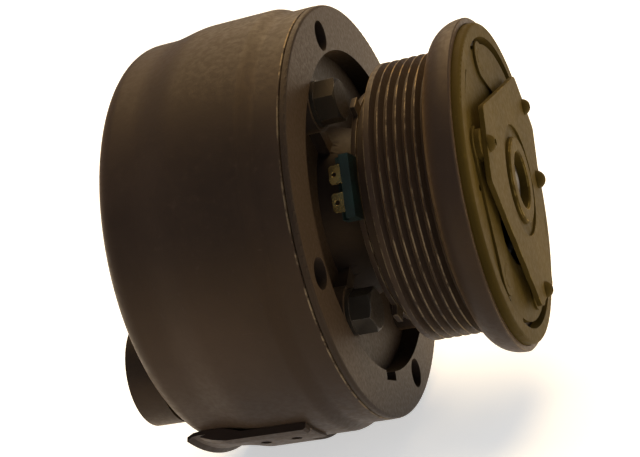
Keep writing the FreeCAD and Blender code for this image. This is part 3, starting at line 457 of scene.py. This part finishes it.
BEVELS = {
    "front_head": 0.6, "head_bolts": 0.4, "shell_strap": 0.35, "cylinder_block": 0.7, "coil_plate": 0.3,
    "connector_body": 0.35, "terminal_upper": 0.1, "terminal_lower": 0.1, "armature_plate": 0.3,
    "leaf_springs": 0.12, "driver_plate": 0.35, "shaft_nut": 0.25, "hub": 0.3, "relief_valve": 0.3,
    "control_switch": 0.2, "rotor": 0.3, "coil_housing": 0.3, "armature_rivets": 0.2, "driver_rivets": 0.15,
}
DEFAULT_BEVEL = 0.12
# The shaft nut and the shaft's end are seen only through the hub's bore. Their near-black steel colour is
# painted shade for that bore, with stain spots on top.
BORE_SHADE_STEEL = machined("bore_shade_steel", (0.055, 0.045, 0.034), rough=0.42, stain=(0.03, 0.022, 0.016))
NODE_MATERIALS = {"shaft_nut": BORE_SHADE_STEEL, "crankshaft": BORE_SHADE_STEEL}
SMOOTH_NODES = ("bearing_balls", "head_o_ring", "block_o_ring", "seal_seat_o_ring", "front_needles",
                "rear_needles")


EASE_STEPS = 10


def eased(x0, r0, x1, r1):
    """Points of a smooth S-shaped change from one radius to another."""
    points = []
    for step in range(EASE_STEPS + 1):
        share = step / EASE_STEPS
        ease = (1 - math.cos(math.pi * share)) / 2
        points.append((x0 + (x1 - x0) * share, r0 + (r1 - r0) * ease))
    return points


def quarter(step, steps):
    """The sine and cosine of a step on the way through a quarter turn."""
    turn = math.pi / 2 * step / steps
    return math.sin(turn), math.cos(turn)


# Millimetres along the shaft and radii, as in the CAD part.
SHELL_FRONT = -2.7
SHELL_REAR = -78.0
SHELL_BORE_R = 80.5
SHELL_NECK_R = 83.4
SHELL_R = 85.8
SHELL_WAIST_R = 83.4
SHELL_ROUND = 8.0
SHELL_ROUND_STEPS = 12
SHOULDER_START = -12.0
SHOULDER_END = -19.5
WAIST_START = -44.0
WAIST_END = -63.0
LIP_HOLE_R = 74.0
LIP_INNER_X = -73.0
LIP_INNER_R = 76.6
BORE_END = -69.0


def make_shell():
    """The drawn drum: neck level with the flange, belly, waist and rolled rear lip."""
    outline = [(SHELL_FRONT, SHELL_BORE_R, 0.2), (SHELL_FRONT, SHELL_NECK_R, 0.6)]
    outline += eased(SHOULDER_START, SHELL_NECK_R, SHOULDER_END, SHELL_R)
    outline += eased(WAIST_START, SHELL_R, WAIST_END, SHELL_WAIST_R)
    for step in range(SHELL_ROUND_STEPS + 1):
        sine, cosine = quarter(step, SHELL_ROUND_STEPS)
        x = SHELL_REAR + SHELL_ROUND * (1 - sine)
        outline.append((x, SHELL_WAIST_R - SHELL_ROUND * (1 - cosine), 0.0))
    outline += [(SHELL_REAR, LIP_HOLE_R, 0.4), (LIP_INNER_X, LIP_HOLE_R, 0.3),
                (LIP_INNER_X, LIP_INNER_R, 0.3), (BORE_END, SHELL_BORE_R, 0.3)]
    return lathe("shell_piece", outline)


RIBS = 6
RIB_PITCH = 3.56
RIB_START = 20.24
CREST_R = 55.5
CREST_FLAT = 0.25
GROOVE_R = 52.6
GROOVE_SIDE = 1.38
PULLEY_REAR = 18.1
PULLEY_BORE_R = 49.41
PULLEY_SEAT_X = 47.99
ROTOR_R = 63.01
ROTOR_STEP = (49.49, 60.0)
LIP_START = 42.2
LIP_BASE_R = 56.7
LIP_RUN = 11.0
LIP_RISE = 8.6
LIP_STEPS = 18
LIP_FRONT = 54.4


def make_pulley():
    """Six ribs with rubbed crests, a turned rear rim and the rolled front lip."""
    outline = [(PULLEY_REAR, PULLEY_BORE_R, 0.2), (PULLEY_REAR, CREST_R, 0.5)]
    for rib in range(RIBS):
        x = RIB_START + rib * RIB_PITCH
        following = x + RIB_PITCH
        outline += [(x + CREST_FLAT, CREST_R, 0.14), (x + GROOVE_SIDE, GROOVE_R, 0.25),
                    (following - GROOVE_SIDE, GROOVE_R, 0.25), (following - CREST_FLAT, CREST_R, 0.14)]
    for step in range(LIP_STEPS + 1):
        sine, cosine = quarter(step, LIP_STEPS)
        outline.append((LIP_START + LIP_RUN * (1 - cosine), LIP_BASE_R + LIP_RISE * sine, 0.0))
    lip_r = LIP_BASE_R + LIP_RISE
    outline += [(LIP_FRONT - 0.5, lip_r, 0.0), (LIP_FRONT, lip_r - 0.4, 0.15), (LIP_FRONT, ROTOR_R, 0.1),
                (ROTOR_STEP[0], ROTOR_R, 0.0), (PULLEY_SEAT_X, ROTOR_STEP[1], 0.0),
                (PULLEY_SEAT_X, PULLEY_BORE_R, 0.2)]

    def crest(x, r):
        return r > CREST_R - 0.2 and RIB_START - 0.64 < x < LIP_START - 0.3

    return lathe("pulley_piece", outline, worn=crest)


THREAD_PITCH = 1.25
THREAD_START = 51.6
THREAD_LENGTH = 8.2
THREAD_ROOT_R = 4.42
THREAD_HEIGHT = 0.56
THREAD_FADE = 6
THREAD_SHARP_ANGLE = 50
THREAD_AROUND = 48
THREAD_ALONG = 80
SHAFT_END_START = 51.39
SHAFT_END_CORE_R = 4.0
ROOT_SHARE = 0.88


def thin_the_thread(bm):
    """Turns the shaft's end down to the thread's root, to make room for the thread itself."""
    for vert in bm.verts:
        if vert.co.x > mm(SHAFT_END_START) and math.hypot(vert.co.y, vert.co.z) > mm(SHAFT_END_CORE_R):
            vert.co.y *= ROOT_SHARE
            vert.co.z *= ROOT_SHARE


def make_thread():
    """The helical thread on the shaft's end, which fades out at both ends."""
    bm = bmesh.new()
    rows = []
    for i in range(THREAD_ALONG + 1):
        x = THREAD_START + THREAD_LENGTH * i / THREAD_ALONG
        fade = min(1.0, i / THREAD_FADE, (THREAD_ALONG - i) / THREAD_FADE)
        ring = []
        for j in range(THREAD_AROUND):
            phase = (x / THREAD_PITCH - j / THREAD_AROUND) % 1.0
            height = 1.0 - abs(2.0 * phase - 1.0)
            r = THREAD_ROOT_R + THREAD_HEIGHT * fade * min(1.0, height * 1.25)
            y, z = polar(r, 360.0 * j / THREAD_AROUND)
            ring.append(bm.verts.new((mm(x), mm(y), mm(z))))
        rows.append(ring)
    for i in range(THREAD_ALONG):
        for j in range(THREAD_AROUND):
            k = (j + 1) % THREAD_AROUND
            bm.faces.new((rows[i][j], rows[i + 1][j], rows[i + 1][k], rows[i][k]))
    bm.faces.new(rows[0])
    bm.faces.new(list(reversed(rows[-1])))
    bmesh.ops.recalc_face_normals(bm, faces=bm.faces)
    thread = new_object("shaft_thread_piece", bm)
    smooth_by_angle(thread, THREAD_SHARP_ANGLE)
    return thread


for node, obj in frame["nodes"].items():
    slot = SLOT_OF[node]
    material = NODE_MATERIALS.get(node, MATERIALS[slot])
    if node in SMOOTH_NODES:
        obj.data.materials.clear()
        obj.data.materials.append(material)
        continue
    if node == "shell":
        piece = make_shell()
    elif node == "pulley_rim":
        piece = make_pulley()
    elif node == "crankshaft":
        piece = cad_copy(node, DEFAULT_BEVEL, change=thin_the_thread)
        stand_for(make_thread(), BODY_OF[node], material, node)
    else:
        piece = cad_copy(node, BEVELS.get(node, DEFAULT_BEVEL))
    stand_for(piece, BODY_OF[node], material, node)


# ---- floor, light and camera -------------------------------------------------------------

FLOOR_GAP = 0.0005
FLOOR_HALF = 90.0
FLOOR_CELLS = 4
FLOOR_GLOW = 0.55


def make_floor():
    """A wide pale floor just under the part."""
    bm = bmesh.new()
    bmesh.ops.create_grid(bm, x_segments=FLOOR_CELLS, y_segments=FLOOR_CELLS, size=FLOOR_HALF)
    bmesh.ops.translate(bm, verts=bm.verts, vec=(0, 0, CAD_BOX[0][2] - FLOOR_GAP))
    floor = new_object("floor", bm)
    s = Shader("floor_pale")
    s.colour(s.mix(s.noise(scale=3.0), (0.90, 0.90, 0.90), (0.92, 0.92, 0.92)))
    s.set("Roughness", 0.9)
    s.set("Specular IOR Level", 0.0)
    s.tint("Emission Color", (1.0, 1.0, 1.0))
    s.set("Emission Strength", FLOOR_GLOW)
    floor.data.materials.append(s.material)
    return floor


def lamp(name, kind, place, target, power, colour):
    """A light at a place, turned towards a target."""
    data = bpy.data.lights.new(name, kind)
    data.energy = power
    data.color = colour
    obj = bpy.data.objects.new(name, data)
    obj.location = place
    obj.rotation_euler = (Vector(target) - Vector(place)).to_track_quat("-Z", "Y").to_euler()
    bpy.context.scene.collection.objects.link(obj)
    return data


def light_the_scene():
    """A wide warm light from above, soft ones behind and at the clutch's side, and a low strip in front."""
    top_sun = lamp("top_sun", "SUN", place=(0.0, 0.42, 1.2), target=(0, 0, 0), power=3.5,
                   colour=(1.0, 0.75, 0.42))
    top_sun.angle = math.radians(60)
    back_soft = lamp("back_soft", "AREA", place=(-0.2, 1.2, 0.9), target=(0, 0, 0), power=5.0,
                     colour=(1.0, 0.72, 0.40))
    back_soft.size = 0.9
    low_front = lamp("low_front", "AREA", place=(0.15, -0.75, -0.075), target=(0.0, 0.0, -0.03), power=0.7,
                     colour=(1.0, 0.84, 0.62))
    low_front.shape = "RECTANGLE"
    low_front.size = 1.4
    low_front.size_y = 0.06
    side_soft = lamp("side_soft", "AREA", place=(1.1, 0.1, 0.3), target=(0.05, 0, 0), power=3.6,
                     colour=(1.0, 0.84, 0.55))
    side_soft.size = 0.6


SKY_COLOUR = (0.62, 0.84, 1.2, 1.0)
SKY_STRENGTH = 0.17


def make_world():
    """A faint cool sky, which fills the shadows."""
    world = bpy.data.worlds.new("studio")
    world.use_nodes = True
    background = world.node_tree.nodes["Background"]
    background.inputs["Color"].default_value = SKY_COLOUR
    background.inputs["Strength"].default_value = SKY_STRENGTH
    return world


CAMERA_PLACE = (0.168892, -0.506103, 0.135246)
CAMERA_AZIMUTH = 20.741
CAMERA_ELEVATION = 14.400
CAMERA_ROLL = -16.404
LENS = 77.4
SENSOR = 36.0


def make_camera():
    """The camera. Its azimuth runs from -Y towards +X, and its roll is about its own line of sight."""
    data = bpy.data.cameras.new("camera")
    data.lens = LENS
    data.sensor_width = SENSOR
    data.clip_start = 0.01
    camera = bpy.data.objects.new("camera", data)
    turn = Matrix.Rotation(math.radians(CAMERA_AZIMUTH), 4, "Z")
    turn = turn @ Matrix.Rotation(math.radians(90 - CAMERA_ELEVATION), 4, "X")
    turn = turn @ Matrix.Rotation(math.radians(CAMERA_ROLL), 4, "Z")
    camera.matrix_world = Matrix.Translation(CAMERA_PLACE) @ turn
    bpy.context.scene.collection.objects.link(camera)
    return camera


make_floor()
light_the_scene()
bpy.context.scene.world = make_world()
bpy.context.scene.camera = make_camera()
bpy.context.scene.view_settings.view_transform = "Standard"
